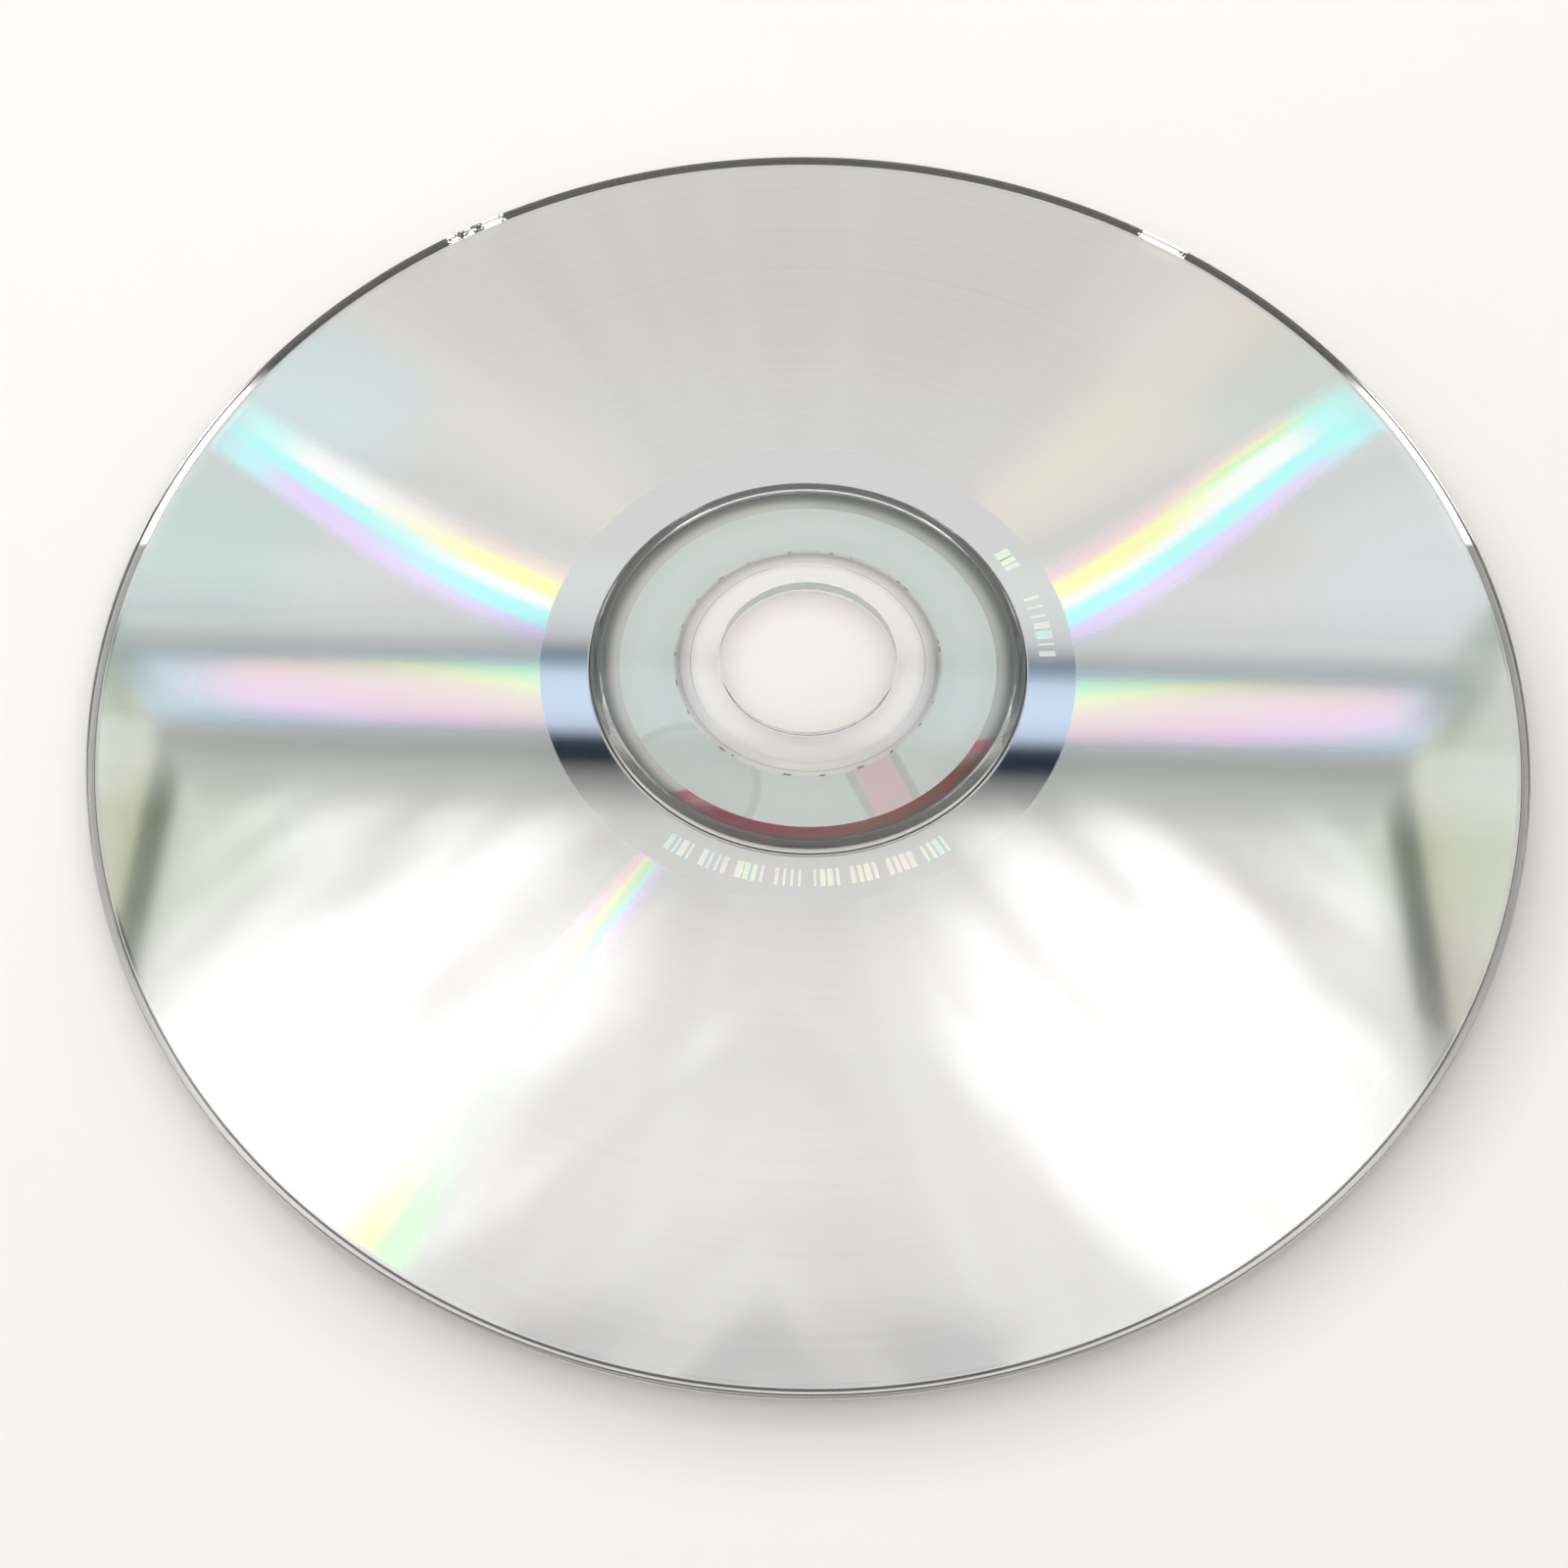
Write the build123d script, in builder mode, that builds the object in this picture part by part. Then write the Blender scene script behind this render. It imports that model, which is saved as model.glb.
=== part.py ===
from build123d import *
import os

# Compact disc with its data side up, lying on its printed label side.
# The origin is in the middle of the centre hole, level with the lowest face of the print.
# +Z points from the label side to the data side.

# Moulded disc
disc_diameter = 120.0
hole_diameter = 15.0
disc_thickness = 1.2  # from the face of the print to the data face
rim_bevel = 0.2  # bevelled corners of the outer rim
hole_bevel = 0.1  # bevelled mouths of the centre hole

# Stacking ring, a low rounded crest on the data side that keeps stacked discs apart
stacking_ring_diameter = 34.9  # inner foot of the crest
stacking_ring_width = 0.9
stacking_ring_height = 0.2

# Punch ring, the shallow recess on the label side round the punched centre
punch_ring_diameter = 19.9  # inner edge of the recess
punch_ring_width = 0.95
punch_ring_depth = 0.05

# Hub print, outside the punch ring
hub_print_gap = 0.5  # bare plastic between the punch ring and the hub print
white_band_width = 4.6  # hub print with the white undercoat on it
colour_band_width = 1.5  # hub print straight on the plastic

# Stamper groove outside the hub print, left by the holder of the mould's stamper
stamper_groove_gap = 0.3  # bare plastic between the hub print and the groove
stamper_groove_width = 0.7
stamper_groove_depth = 0.15
stamper_groove_wall_angle = 70.0  # between the label face and each groove wall

# Metal, lacquer and label print, outside the groove
lacquer_gap = 0.1  # bare plastic between the groove and the lacquer
lacquer_overlap = 0.1  # how far the lacquer laps past both edges of the metal
label_print_margin = 0.3  # metal left without print at both edges of the label print
clear_rim_width = 0.7  # plastic without metal at the outer edge

# Films on the label side, drawn thicker than the real ones
metal_thickness = 0.02
lacquer_thickness = 0.02
print_thickness = 0.02

# Radii that follow, from the hole outwards
hole_radius = hole_diameter / 2
punch_inner_radius = punch_ring_diameter / 2
punch_outer_radius = punch_inner_radius + punch_ring_width
hub_print_inner_radius = punch_outer_radius + hub_print_gap
white_band_radius = hub_print_inner_radius + white_band_width
hub_print_outer_radius = white_band_radius + colour_band_width
groove_inner_radius = hub_print_outer_radius + stamper_groove_gap
groove_outer_radius = groove_inner_radius + stamper_groove_width
crest_inner_radius = stacking_ring_diameter / 2
crest_middle_radius = crest_inner_radius + stacking_ring_width / 2
crest_outer_radius = crest_inner_radius + stacking_ring_width
lacquer_inner_radius = groove_outer_radius + lacquer_gap
metal_inner_radius = lacquer_inner_radius + lacquer_overlap
label_print_inner_radius = metal_inner_radius + label_print_margin
disc_radius = disc_diameter / 2
metal_outer_radius = disc_radius - clear_rim_width
label_print_outer_radius = metal_outer_radius - label_print_margin
lacquer_outer_radius = metal_outer_radius + lacquer_overlap

# Levels that follow, from the face of the print upwards
lacquer_level = print_thickness
metal_level = lacquer_level + lacquer_thickness
plastic_level = metal_level + metal_thickness
punch_level = plastic_level + punch_ring_depth


# Half section of a flat ring, drawn on the XZ plane between two radii and two levels
def ring_section(inner_radius, outer_radius, low, high, mode=Mode.ADD):
    with Locations((inner_radius, low)):
        Rectangle(outer_radius - inner_radius, high - low, align=Align.MIN, mode=mode)


# Clear plastic disc
with BuildPart() as polycarbonate_disc:
    # Flat blank with its centre hole, bevelled at the hole's mouths and at the rim
    with BuildSketch(Plane.XY.offset(plastic_level)):
        Circle(disc_radius)
        Circle(hole_radius, mode=Mode.SUBTRACT)
    extrude(amount=disc_thickness - plastic_level)
    chamfer(edges().filter_by(GeomType.CIRCLE).group_by(SortBy.RADIUS)[0], length=hole_bevel)
    chamfer(edges().filter_by(GeomType.CIRCLE).group_by(SortBy.RADIUS)[-1], length=rim_bevel)

    # Stacking ring: an arc from foot to foot, turned round the axis
    with BuildSketch(Plane.XZ):
        with BuildLine():
            crest = ThreePointArc(
                (crest_inner_radius, disc_thickness),
                (crest_middle_radius, disc_thickness + stacking_ring_height),
                (crest_outer_radius, disc_thickness),
            )
            Line(crest @ 1, crest @ 0)
        make_face()
    revolve(axis=Axis.Z)

    # Stamper groove with leaning walls, and the shallow punch ring
    with BuildSketch(Plane.XZ):
        with Locations((groove_inner_radius, plastic_level)):
            Trapezoid(
                stamper_groove_width,
                stamper_groove_depth,
                stamper_groove_wall_angle,
                align=Align.MIN,
            )
        ring_section(punch_inner_radius, punch_outer_radius, plastic_level, punch_level)
    revolve(axis=Axis.Z, mode=Mode.SUBTRACT)

# Aluminium film that mirrors the light through the plastic
with BuildPart() as reflective_layer:
    with BuildSketch(Plane.XZ):
        ring_section(metal_inner_radius, metal_outer_radius, metal_level, plastic_level)
    revolve(axis=Axis.Z)

# Clear lacquer under the metal, which laps round both of its edges up to the plastic
with BuildPart() as protective_lacquer:
    with BuildSketch(Plane.XZ):
        ring_section(lacquer_inner_radius, lacquer_outer_radius, lacquer_level, plastic_level)
        ring_section(metal_inner_radius, metal_outer_radius, metal_level, plastic_level, Mode.SUBTRACT)
    revolve(axis=Axis.Z)

# White undercoat of the print on the clear hub
with BuildPart() as white_base_coat:
    with BuildSketch(Plane.XZ):
        ring_section(hub_print_inner_radius, white_band_radius, print_thickness, plastic_level)
    revolve(axis=Axis.Z)

# Colour print on the hub: over the undercoat, and straight on the plastic in its outer band
with BuildPart() as hub_print:
    with BuildSketch(Plane.XZ):
        ring_section(hub_print_inner_radius, hub_print_outer_radius, 0, plastic_level)
        ring_section(hub_print_inner_radius, white_band_radius, print_thickness, plastic_level, Mode.SUBTRACT)
    revolve(axis=Axis.Z)

# Colour print on the lacquered metal
with BuildPart() as label_print:
    with BuildSketch(Plane.XZ):
        ring_section(label_print_inner_radius, label_print_outer_radius, 0, print_thickness)
    revolve(axis=Axis.Z)

pieces = {
    "polycarbonate_disc": polycarbonate_disc,
    "reflective_layer": reflective_layer,
    "protective_lacquer": protective_lacquer,
    "white_base_coat": white_base_coat,
    "hub_print": hub_print,
    "label_print": label_print,
}
os.makedirs("parts", exist_ok=True)
for name, piece in pieces.items():
    piece.part.label = name
    export_step(piece.part, f"parts/{name}.step")
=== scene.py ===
import math
import bpy
from mathutils import Matrix, Vector


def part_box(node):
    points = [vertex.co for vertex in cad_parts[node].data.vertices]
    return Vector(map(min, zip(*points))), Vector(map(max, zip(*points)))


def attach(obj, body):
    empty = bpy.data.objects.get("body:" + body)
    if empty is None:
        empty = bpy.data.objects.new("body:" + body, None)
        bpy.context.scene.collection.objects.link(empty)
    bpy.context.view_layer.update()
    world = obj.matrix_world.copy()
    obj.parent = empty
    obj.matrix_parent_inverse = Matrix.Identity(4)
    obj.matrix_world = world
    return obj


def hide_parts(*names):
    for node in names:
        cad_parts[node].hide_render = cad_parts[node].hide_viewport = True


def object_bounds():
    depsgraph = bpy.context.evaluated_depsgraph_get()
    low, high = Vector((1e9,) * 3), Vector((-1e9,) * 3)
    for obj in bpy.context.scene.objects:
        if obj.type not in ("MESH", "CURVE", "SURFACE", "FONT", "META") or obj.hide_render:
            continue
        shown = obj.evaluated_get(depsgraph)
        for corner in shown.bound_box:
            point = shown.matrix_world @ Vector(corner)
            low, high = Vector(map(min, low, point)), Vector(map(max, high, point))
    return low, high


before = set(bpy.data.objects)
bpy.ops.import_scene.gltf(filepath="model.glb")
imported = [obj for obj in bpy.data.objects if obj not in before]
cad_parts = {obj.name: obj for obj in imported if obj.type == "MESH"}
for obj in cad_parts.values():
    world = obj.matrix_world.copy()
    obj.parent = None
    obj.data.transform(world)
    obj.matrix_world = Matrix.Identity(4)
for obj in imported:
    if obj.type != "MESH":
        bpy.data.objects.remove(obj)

# A compact disc lies on its printed side on a pale table, inside a soft tent of light.
# The scene is in metres; the dictionaries give sizes in millimetres and angles in degrees.
mm = 0.001
cadBox = [list(corner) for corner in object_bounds()]
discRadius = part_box("polycarbonate_disc")[1].x / mm
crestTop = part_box("polycarbonate_disc")[1].z / mm
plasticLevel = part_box("polycarbonate_disc")[0].z / mm
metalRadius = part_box("reflective_layer")[1].x / mm
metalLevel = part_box("reflective_layer")[0].z / mm
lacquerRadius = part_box("protective_lacquer")[1].x / mm
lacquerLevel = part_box("protective_lacquer")[0].z / mm
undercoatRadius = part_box("white_base_coat")[1].x / mm
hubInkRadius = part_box("hub_print")[1].x / mm
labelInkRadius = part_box("label_print")[1].x / mm
tableLevel = cadBox[0][2] / mm


def announce(stage):
    print("scene:", stage)


def screenColour(red, green, blue):
    # a colour as seen on a screen, 0 to 255, in the linear values that shaders use
    shares = [level / 255 for level in (red, green, blue)]
    return tuple(s / 12.92 if s <= 0.04045 else ((s + 0.055) / 1.055) ** 2.4 for s in shares) + (1.0,)


# Node maths as Python expressions, for shaders and for Geometry Nodes

def operator(operation, swapped=False):
    def apply(self, other):
        values = (other, self) if swapped else (self, other)
        return self.sheet.calc(operation, *values)
    return apply


class Wire:
    # one output socket; + - * / with a number or another wire add Math nodes
    __add__ = operator("ADD")
    __radd__ = operator("ADD", swapped=True)
    __sub__ = operator("SUBTRACT")
    __rsub__ = operator("SUBTRACT", swapped=True)
    __mul__ = operator("MULTIPLY")
    __rmul__ = operator("MULTIPLY", swapped=True)
    __truediv__ = operator("DIVIDE")
    __rtruediv__ = operator("DIVIDE", swapped=True)

    def __init__(self, sheet, socket):
        self.sheet = sheet
        self.socket = socket

    def __abs__(self):
        return self.sheet.calc("ABSOLUTE", self)

    def beside(self, name):
        # another output of the same node
        return Wire(self.sheet, self.socket.node.outputs[name])


class Sheet:
    # a node tree being drawn: a finish, the tent of light or a Geometry Nodes tree
    def __init__(self, tree):
        self.tree = tree
        tree.nodes.clear()

    def node(self, kind, settings={}, values={}, output=0):
        # settings go in first, a ramp's stops among them, and then values or wires by socket name
        made = self.tree.nodes.new(kind)
        for name, value in settings.items():
            if name == "stops":
                self.setStops(made.color_ramp.elements, value)
            else:
                setattr(made, name, value)
        for name, value in values.items():
            if isinstance(value, Wire):
                self.tree.links.new(value.socket, made.inputs[name])
            else:
                made.inputs[name].default_value = value
        return Wire(self, made.outputs[output]) if made.outputs else None

    def setStops(self, marks, stops):
        while len(marks) < len(stops):
            marks.new(1.0)
        for mark, (place, colour) in zip(marks, stops):
            mark.position = place
            mark.color = colour

    def calc(self, operation, *values):
        return self.node("ShaderNodeMath", {"operation": operation}, dict(enumerate(values)))

    def larger(self, first, second):
        return self.calc("MAXIMUM", first, second)

    def step(self, value, start, end):
        # 0 up to start, 1 from end on and a smooth rise between them; end may lie below start
        settings = {"interpolation_type": "SMOOTHSTEP"}
        values = {"Value": value, "From Min": start, "From Max": end}
        return self.node("ShaderNodeMapRange", settings, values)

    def band(self, value, start, end, soft):
        # 1 between start and end, with soft edges
        return self.step(value, start - soft, start + soft) * self.step(value, end + soft, end - soft)

    def ramp(self, value, stops):
        return self.node("ShaderNodeValToRGB", {"stops": stops}, {"Fac": value})

    def mix(self, share, first, second, blend="MIX"):
        # a Mix node names its sockets alike for every data type, so those for colours go by number
        settings = {"data_type": "RGBA", "blend_type": blend}
        return self.node("ShaderNodeMix", settings, {0: share, 6: first, 7: second}, output=2)

    def combine(self, x, y, z):
        return self.node("ShaderNodeCombineXYZ", {}, {"X": x, "Y": y, "Z": z})

    def distance(self, x, y):
        return self.calc("SQRT", x * x + y * y)

    def noise(self, place, scale, detail, dimensions):
        # place is a vector, or one number where dimensions is 1D
        settings = {"noise_dimensions": dimensions}
        socket = "W" if dimensions == "1D" else "Vector"
        return self.node("ShaderNodeTexNoise", settings, {socket: place, "Scale": scale, "Detail": detail})


class Finish(Sheet):
    # a material, drawn on Object coordinates in millimetres
    def __init__(self, name):
        self.material = bpy.data.materials.new(name)
        self.material.use_nodes = True
        super().__init__(self.material.node_tree)
        place = self.node("ShaderNodeTexCoord", output="Object")
        values = {"Vector": place, "Scale": 1 / mm}
        self.spot = self.node("ShaderNodeVectorMath", {"operation": "SCALE"}, values)
        self.x = self.node("ShaderNodeSeparateXYZ", {}, {"Vector": self.spot})
        self.y = self.x.beside("Y")
        self.radius = self.distance(self.x, self.y)

    def angle(self, middle):
        # degrees round the disc, from middle - 180 to middle + 180
        turn = math.radians(middle)
        ahead = self.x * math.cos(turn) + self.y * math.sin(turn)
        aside = self.y * math.cos(turn) - self.x * math.sin(turn)
        return self.calc("ARCTAN2", aside, ahead) * math.degrees(1) + middle

    def grain(self, scale, detail=2.0):
        return self.noise(self.spot, scale, detail, "3D")

    def rings(self, scale, detail):
        # noise that changes only with the radius, as the turns of the track do
        return self.noise(self.radius, scale, detail, "1D")

    def principled(self, values):
        surface = self.node("ShaderNodeBsdfPrincipled", {}, values)
        self.node("ShaderNodeOutputMaterial", {}, {"Surface": surface})
        return self.material


# Geometry Nodes trees and the plain meshes that they leave

class Recipe(Sheet):
    # a Geometry Nodes tree with named inputs, which works on one starting mesh
    def __init__(self, name, inputs):
        tree = bpy.data.node_groups.new(name, "GeometryNodeTree")
        tree.is_modifier = True
        super().__init__(tree)
        tree.interface.new_socket("Start", in_out="INPUT", socket_type="NodeSocketGeometry")
        made = {}
        for label, kind in inputs.items():
            made[label] = tree.interface.new_socket(label, in_out="INPUT", socket_type="NodeSocket" + kind)
        tree.interface.new_socket("Result", in_out="OUTPUT", socket_type="NodeSocketGeometry")
        self.keys = {label: socket.identifier for label, socket in made.items()}
        self.given = self.node("NodeGroupInput")

    def close(self, geometry):
        real = self.node("GeometryNodeRealizeInstances", {}, {"Geometry": geometry})
        finish = self.given.beside("Finish")
        painted = self.node("GeometryNodeSetMaterial", {}, {"Geometry": real, "Material": finish})
        self.node("NodeGroupOutput", {}, {"Result": painted})

    def make(self, name, points, edges, values):
        # runs the tree on a start of points and edges, and keeps the result as a plain mesh
        start = bpy.data.meshes.new(name + "Start")
        start.from_pydata(points, edges, [])
        piece = bpy.data.objects.new(name, start)
        bpy.context.scene.collection.objects.link(piece)
        modifier = piece.modifiers.new("Recipe", "NODES")
        modifier.node_group = self.tree
        for label, value in values.items():
            modifier[self.keys[label]] = value
        ready = piece.evaluated_get(bpy.context.evaluated_depsgraph_get())
        mesh = bpy.data.meshes.new_from_object(ready)
        piece.modifiers.clear()
        piece.data = mesh
        mesh.name = name
        bpy.data.meshes.remove(start)
        return piece


def turningRecipe():
    # sweeps a closed section round the Z axis
    inputs = {"Steps Round": "Int", "Guide Radius": "Float", "Finish": "Material"}
    recipe = Recipe("turnedSection", inputs)
    given = recipe.given
    section = recipe.node("GeometryNodeMeshToCurve", {}, {"Mesh": given})
    size = {"Resolution": given.beside("Steps Round"), "Radius": given.beside("Guide Radius")}
    circle = recipe.node("GeometryNodeCurvePrimitiveCircle", {}, size)
    recipe.close(recipe.node("GeometryNodeCurveToMesh", {}, {"Curve": circle, "Profile Curve": section}))
    return recipe


turning = {"stepsRound": 720, "guideRadius": 40.0, "sharpAngle": 30.0}
turnRecipe = turningRecipe()


def turned(name, section, material):
    # section is a closed outline of (radius, level) points, anticlockwise
    guide = turning["guideRadius"]
    points = [((radius - guide) * mm, -level * mm, 0.0) for radius, level in reversed(section)]
    edges = [(k, (k + 1) % len(points)) for k in range(len(points))]
    values = {"Steps Round": turning["stepsRound"], "Guide Radius": guide * mm, "Finish": material}
    piece = turnRecipe.make(name, points, edges, values)
    piece.data.shade_smooth()
    piece.data.set_sharp_from_angle(angle=math.radians(turning["sharpAngle"]))
    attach(piece, "root")
    return piece


def arc(centre, radius, start, end, steps):
    # points of a section's arc, from the start angle to the end angle
    turns = [math.radians(start + (end - start) * k / steps) for k in range(steps + 1)]
    return [(centre[0] + radius * math.cos(t), centre[1] + radius * math.sin(t)) for t in turns]


def flatRing(inner, outer, low, high):
    return [(inner, low), (outer, low), (outer, high), (inner, high)]


# Camera, at the photo's viewing angle

camera = {
    "sensor": 36.0, "focal": 40.265, "nearest": 5.0,
    "distance": 149.743, "elevation": 57.216,        # of the camera's place, seen from the hole's middle
    "yaw": -0.672, "pitch": -3.963, "roll": 1.454,   # turns from looking straight at that middle
}


def setCamera():
    data = bpy.data.cameras.new("camera")
    data.sensor_width = camera["sensor"]
    data.lens = camera["focal"]
    data.clip_start = camera["nearest"] * mm
    holder = bpy.data.objects.new("camera", data)
    bpy.context.scene.collection.objects.link(holder)
    tilt = math.radians(camera["elevation"])
    place = Vector((0, -math.cos(tilt), math.sin(tilt))) * camera["distance"] * mm
    aim = Matrix.Rotation(math.radians(90 - camera["elevation"]), 4, "X")
    for key, axis, sign in (("yaw", "Y", -1), ("pitch", "X", 1), ("roll", "Z", 1)):
        aim = aim @ Matrix.Rotation(math.radians(camera[key]) * sign, 4, axis)
    holder.matrix_world = Matrix.Translation(place) @ aim
    bpy.context.scene.camera = holder


setCamera()
announce("camera")


# Tent of light: a pale box with a bright slot round its ceiling panel

tent = {
    "strength": 1.5,                                 # level of a ramp's white
    "middle": -0.0155,                               # the tent stands a little to the left of the disc
    "sideSlope": 1.396,                              # its length against its width
    "slopes": (0.20, 0.74),                          # of the reflected ray, where the box has its stops
    "leastHeight": 0.02,                             # keeps the slopes of level rays finite
    "seam": 0.012,                                   # half the soft seam between ends and sides
    # from the ceiling's middle outwards: slope and level towards the ends and the sides of the box
    "ends": [
        (0.200, (0.84, 0.84, 0.85)), (0.227, (1.10, 1.10, 1.10)), (0.290, (1.23, 1.22, 1.23)),
        (0.360, (1.19, 1.19, 1.20)), (0.425, (1.19, 1.18, 1.18)), (0.460, (1.06, 1.06, 1.06)),
        (0.520, (0.97, 0.97, 0.96)), (0.556, (0.30, 0.30, 0.30)), (0.566, (0.02, 0.03, 0.05)),
        (0.579, (0.03, 0.05, 0.08)), (0.591, (0.84, 0.99, 1.22)), (0.602, (0.96, 1.16, 1.42)),
        (0.622, (0.98, 1.18, 1.44)), (0.631, (0.86, 1.04, 1.26)), (0.639, (0.46, 0.60, 0.78)),
        (0.647, (0.28, 0.35, 0.42)), (0.655, (0.60, 0.63, 0.66)), (0.664, (0.90, 0.93, 0.96)),
        (0.680, (1.04, 1.07, 1.08)), (0.711, (1.12, 1.15, 1.16)), (0.740, (1.05, 1.06, 1.06)),
    ],
    "sides": [
        (0.200, (1.12, 1.12, 1.12)), (0.500, (1.12, 1.12, 1.11)), (0.540, (0.98, 1.00, 0.97)),
        (0.552, (0.0, 0.03, 0.0)), (0.569, (0.0, 0.03, 0.0)), (0.578, (0.88, 0.83, 0.68)),
        (0.620, (0.94, 0.95, 0.86)), (0.740, (1.02, 1.03, 0.97)),
    ],
    # pairs are the start and end of a soft step
    "corner": {
        "across": (0.045, 0.010), "outward": (0.59, 0.63), "share": 0.65, "level": (0.30, 0.44, 0.36),
    },
    "farWall": {"along": (0.80, 1.0), "level": (0.955, 0.938, 0.90)},
    "wall": {"height": (0.42, 0.18), "level": (1.02, 1.02, 1.02)},
    "front": {"along": (0.10, -0.06), "level": (0.95, 0.95, 0.95)},          # no flat face mirrors it
    "darkPatch": {"spot": (270, 60, 9.0, 3.0), "level": (0.05, 0.05, 0.06)}, # its opening
}
# Two soft lamps behind the ceiling, each a slanting oval with a wavy edge, and marbling beside them
softLamps = {
    "place": (0.245, 0.390), "size": 0.215, "edge": 0.05, "stretch": (0.60, 0.84),
    "level": (2.0, 2.0, 2.0),
    "waves": {"scale": 6.0, "detail": 2.0, "slant": 1.8, "depth": 0.30},
    "outward": (0.56, 0.51), "inward": (0.10, 0.24), "inwardPlace": 0.56, "inwardLean": 0.9,
    "marbling": {"along": (0.52, 0.34), "waves": (0.38, 0.66), "share": 0.5, "level": (1.40, 1.40, 1.38)},
}
# Small bright lamps low behind the disc, which glint in its edges: azimuth, elevation, size and softness
smallLamps = {
    "spots": [(50, 25, 4.5, 1.0), (130, 25, 4.5, 1.0), (72, 25, 2.5, 1.0), (107, 25, 2.5, 1.0)],
    "level": 16.0,
}


def tentLevel(level):
    return tuple(share / tent["strength"] for share in level) + (1.0,)


def boxRamp(sheet, slope, levels):
    low, high = tent["slopes"]
    stops = [((place - low) / (high - low), tentLevel(level)) for place, level in levels]
    return sheet.ramp((slope - low) / (high - low), stops)


def spotMask(sheet, way, spot):
    # 1 inside a round patch of the tent
    azimuth, elevation, size, soft = spot
    turn, lift = math.radians(azimuth), math.radians(elevation)
    x, y, z = way
    facing = x * (math.cos(turn) * math.cos(lift)) + y * (math.sin(turn) * math.cos(lift))
    facing = facing + z * math.sin(lift)
    return sheet.step(facing, math.cos(math.radians(size + soft)), math.cos(math.radians(size)))


def lampMasks(sheet, sideways, across, along, outward):
    # the soft lamps and their marbling
    lamp, waves, marbling = softLamps, softLamps["waves"], softLamps["marbling"]
    aside, ahead = across - lamp["place"][0], along - lamp["place"][1]
    place = sheet.combine(sideways, (aside + ahead) * waves["slant"], 0.0)
    wave = sheet.noise(place, waves["scale"], waves["detail"], "2D")
    away = sheet.distance((aside - ahead) * lamp["stretch"][0], (aside + ahead) * lamp["stretch"][1])
    away = away + (wave - 0.5) * waves["depth"]
    oval = sheet.step(away, lamp["size"], lamp["edge"]) * sheet.step(outward, *lamp["outward"])
    inward = across + (lamp["inwardPlace"] - along) * lamp["inwardLean"]
    oval = oval * sheet.step(inward, *lamp["inward"])
    streaky = sheet.step(along, *marbling["along"]) * sheet.step(wave, *marbling["waves"])
    return oval, streaky * marbling["share"]


def ceilingBox(sheet, sideways, forward):
    # the ceiling, the slot round it and the walls, by the slopes of the reflected ray
    across, along = abs(sideways - tent["middle"]), abs(forward)
    wide = across * tent["sideSlope"]
    outward = sheet.larger(wide, along)
    ends, sides = boxRamp(sheet, along, tent["ends"]), boxRamp(sheet, wide, tent["sides"])
    box = sheet.mix(sheet.step(wide - along, -tent["seam"], tent["seam"]), ends, sides)
    corner, farWall = tent["corner"], tent["farWall"]
    mask = sheet.step(abs(wide - along), *corner["across"]) * sheet.step(outward, *corner["outward"])
    box = sheet.mix(mask * corner["share"], box, tentLevel(corner["level"]))
    box = sheet.mix(sheet.step(along, *farWall["along"]), box, tentLevel(farWall["level"]))
    oval, streaky = lampMasks(sheet, sideways, across, along, outward)
    box = sheet.mix(streaky, box, tentLevel(softLamps["marbling"]["level"]))
    return sheet.mix(oval, box, tentLevel(softLamps["level"]))


def buildTent():
    world = bpy.data.worlds.new("tent")
    bpy.context.scene.world = world
    world.use_nodes = True
    world.cycles.sampling_method = "NONE"            # the surfaces' own rays find so even a tent
    sheet = Sheet(world.node_tree)
    way = sheet.node("ShaderNodeTexCoord", output="Generated")
    x = sheet.node("ShaderNodeSeparateXYZ", {}, {"Vector": way})
    y, z = x.beside("Y"), x.beside("Z")
    height = sheet.larger(z, tent["leastHeight"])
    sideways, forward = x / height, y / height
    wall, front, dark = tent["wall"], tent["front"], tent["darkPatch"]
    box = ceilingBox(sheet, sideways, forward)
    box = sheet.mix(sheet.step(z, *wall["height"]), box, tentLevel(wall["level"]))
    box = sheet.mix(sheet.step(forward, *front["along"]), box, tentLevel(front["level"]))
    box = sheet.mix(spotMask(sheet, (x, y, z), dark["spot"]), box, tentLevel(dark["level"]))
    lamps = sum(spotMask(sheet, (x, y, z), spot) for spot in smallLamps["spots"])
    strength = lamps * smallLamps["level"] + tent["strength"]
    glow = sheet.node("ShaderNodeBackground", {}, {"Color": box, "Strength": strength})
    sheet.node("ShaderNodeOutputWorld", {}, {"Surface": glow})


buildTent()
scene = bpy.context.scene
scene.view_settings.view_transform = "Standard"
scene.cycles.blur_glossy = 0.0                   # light that crosses the clear plastic stays unblurred
scene.cycles.max_bounces = 6
announce("tent of light")


# Table

# Pairs are the start and end of a soft step; shares are the least, and how much the clouds add
table = {
    "radius": 4000.0, "gap": 0.005, "corners": 72, "roughness": 0.6, "gloss": 0.05,
    # painted shade: the table is darker and a little warmer towards the near side
    "nearColour": (0.86, 0.825, 0.805, 1), "farColour": (0.94, 0.92, 0.905, 1), "drift": (-110.0, 110.0),
    "slant": 0.6,                                    # X against Y in the drift and beside the rim
    "cloud": {
        "scale": 0.02, "detail": 3.0, "reach": (0.3, 0.8), "share": 0.06, "colour": (0.70, 0.69, 0.66, 1),
    },
    # painted shade on the table under the clear hub, warmer and darker, clouded
    "shadeUnderHub": {"reach": (14.0, 8.5), "shares": (0.3, 0.4), "colour": (0.90, 0.83, 0.79, 1)},
    # painted shadow on the table just outside the rim, on its near right side
    "shadowBesideRim": {
        "reach": (68.0, 59.5), "side": (-20.0, 70.0), "share": 0.5, "colour": (0.46, 0.43, 0.41, 1),
    },
    "shade": (0.022, 0.017, 0.013, 1),
}
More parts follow.
